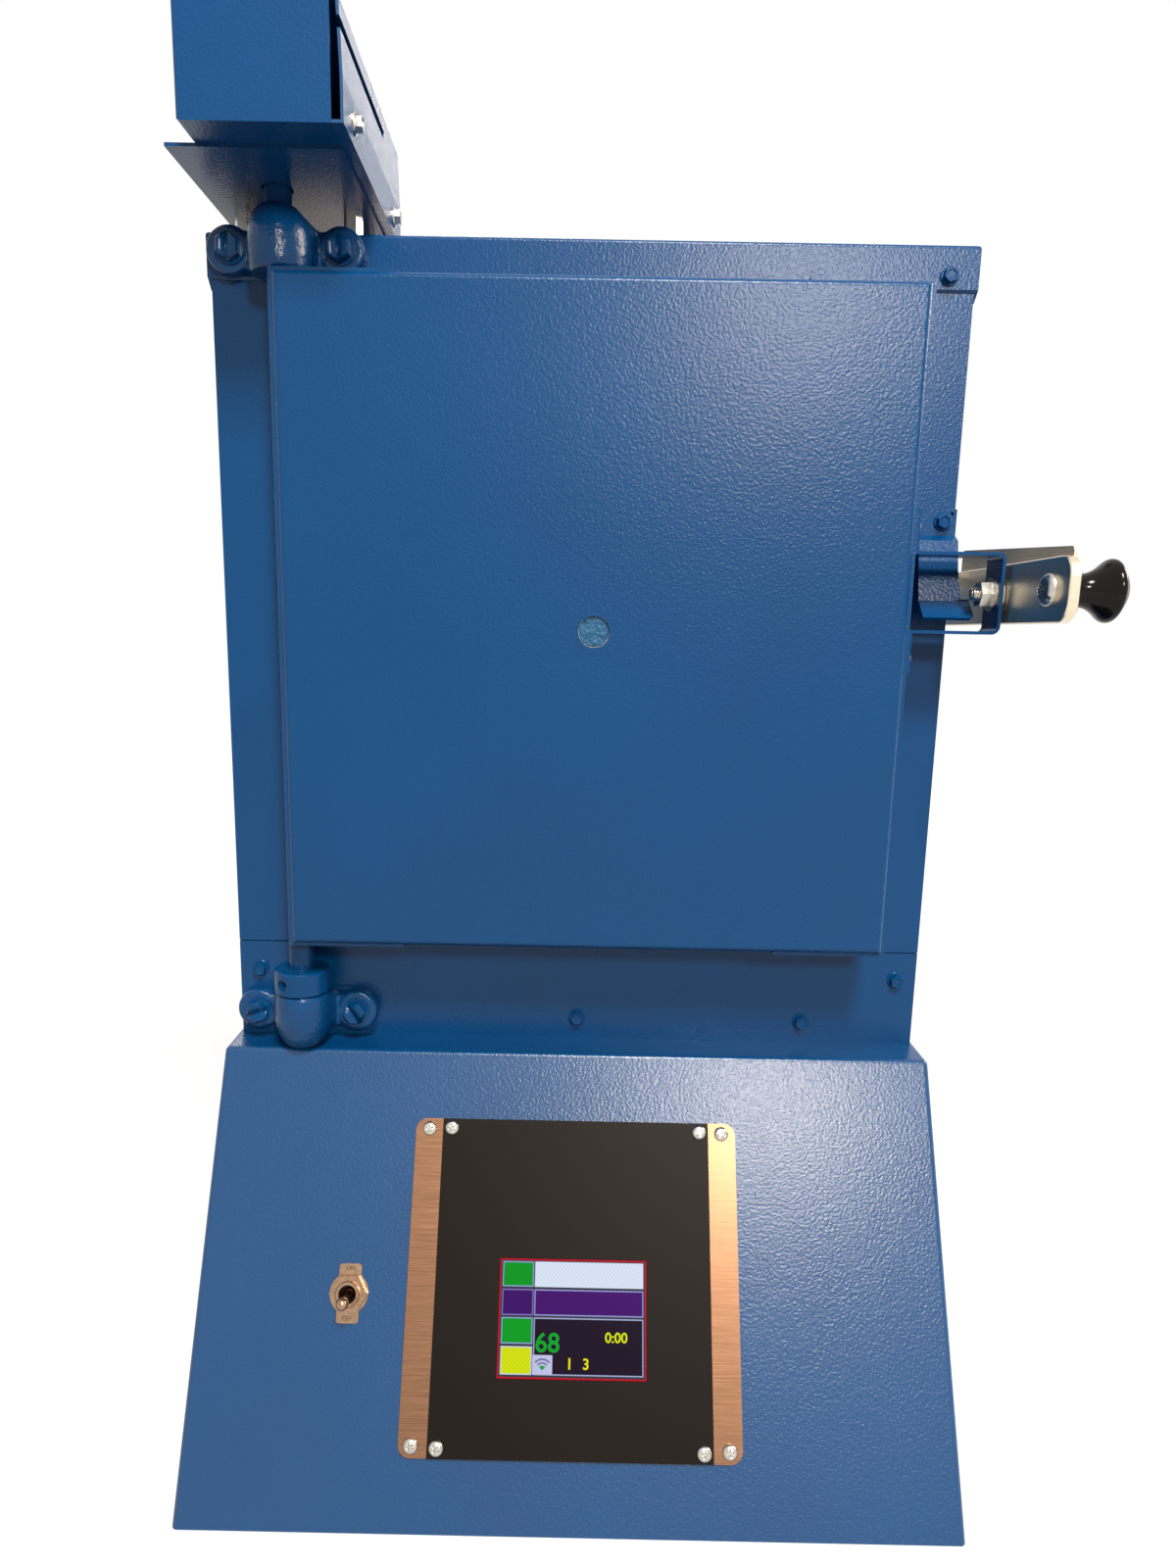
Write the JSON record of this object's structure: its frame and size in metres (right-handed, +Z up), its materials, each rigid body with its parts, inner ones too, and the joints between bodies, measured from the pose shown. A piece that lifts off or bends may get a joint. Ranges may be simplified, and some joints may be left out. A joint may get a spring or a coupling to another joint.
{
  "type": "heat treating kiln",
  "caption": "Front-loading electric heat treating kiln in blue enamel with a right-hand bar latch, hinge rod in cast blocks and a sloped touch controller base.",
  "frame": {"origin": "on the underside of the control box, below the middle of the case front", "axes": "+X to the right seen from the front, +Y into the kiln away from the door, +Z up"},
  "size_m": [0.4189, 0.6084, 0.663],
  "materials": {
    "blue_enamel": "pebbled semi gloss",
    "cast_iron": "painted blue over cast skin",
    "zinc_steel": "zinc plated",
    "polished_steel": "polished stainless",
    "brushed_steel": "brushed stainless",
    "black_plastic": "gloss",
    "black_overlay": "fine matt film",
    "display_glass": "gloss",
    "firebrick": "soft porous",
    "ceramic": "matt",
    "element_wire": "oxidised"
  },
  "bodies": {
    "kiln": {"base_housing": "blue_enamel", "base_bottom": "blue_enamel", "base_back": "blue_enamel", "power_inlet": "black_plastic", "power_relays": "black_plastic", "case_front": "blue_enamel", "case_lower_band": "blue_enamel", "case_left_side": "blue_enamel", "case_right_side": "blue_enamel", "case_back": "blue_enamel", "case_cap": "blue_enamel", "sheet_screws": "blue_enamel", "brick_left": "firebrick", "brick_right": "firebrick", "brick_floor": "firebrick", "brick_roof": "firebrick", "brick_rear": "firebrick", "heating_elements": "element_wire", "thermocouple": "ceramic", "lower_pillow_block": "cast_iron", "upper_pillow_block": "cast_iron", "block_shim": "blue_enamel", "pillow_washers": "blue_enamel", "pillow_bolts": "blue_enamel", "box_standoffs": "zinc_steel", "switch_box_plate": "blue_enamel", "switch_box": "blue_enamel", "switch_box_cover": "blue_enamel", "box_cover_screws": "zinc_steel", "reed_switch": "black_plastic", "latch_post": "zinc_steel", "guide_bracket": "blue_enamel", "controller_plate": "brushed_steel", "controller_overlay": "black_overlay", "controller_housing": "black_plastic", "controller_display": "display_glass", "controller_screws": "zinc_steel", "toggle_plate": "zinc_steel", "toggle_nut": "zinc_steel", "toggle_body": "black_plastic"},
    "door": {"door_pan": "blue_enamel", "door_rail_left": "blue_enamel", "door_rail_right": "blue_enamel", "door_brick": "firebrick", "door_back_frame": "zinc_steel", "sight_plug": "blue_enamel", "hinge_rod": "blue_enamel", "shaft_collar": "blue_enamel", "collar_set_screw": "zinc_steel", "interlock_magnet": "black_plastic", "latch_strap": "blue_enamel", "strap_screws": "zinc_steel", "pivot_bolt": "zinc_steel", "pivot_nut": "zinc_steel", "pivot_washers": "zinc_steel"},
    "latch": {"latch_lever": "polished_steel", "lever_backing_plate": "brushed_steel", "latch_knob": "black_plastic", "knob_screw": "zinc_steel"},
    "power_toggle": {"toggle_lever": "zinc_steel"}
  },
  "joints": [
    {"name": "door_hinge", "type": "hinge", "parent": "kiln", "child": "door", "pos_m": [-0.146, -0.0175, 0.41865], "axis": [0, 0, -1], "range_deg": [0, 140]},
    {"name": "latch_pivot", "type": "hinge", "parent": "door", "child": "latch", "pos_m": [0.2023, -0.0245, 0.44], "axis": [1, 0, 0], "range_deg": [-30, 8.5]},
    {"name": "power_toggle_hinge", "type": "hinge", "parent": "kiln", "child": "power_toggle", "pos_m": [-0.1113, -0.07368, 0.09155], "axis": [1, 0, 0], "range_deg": [-16, 0]}
  ]
}
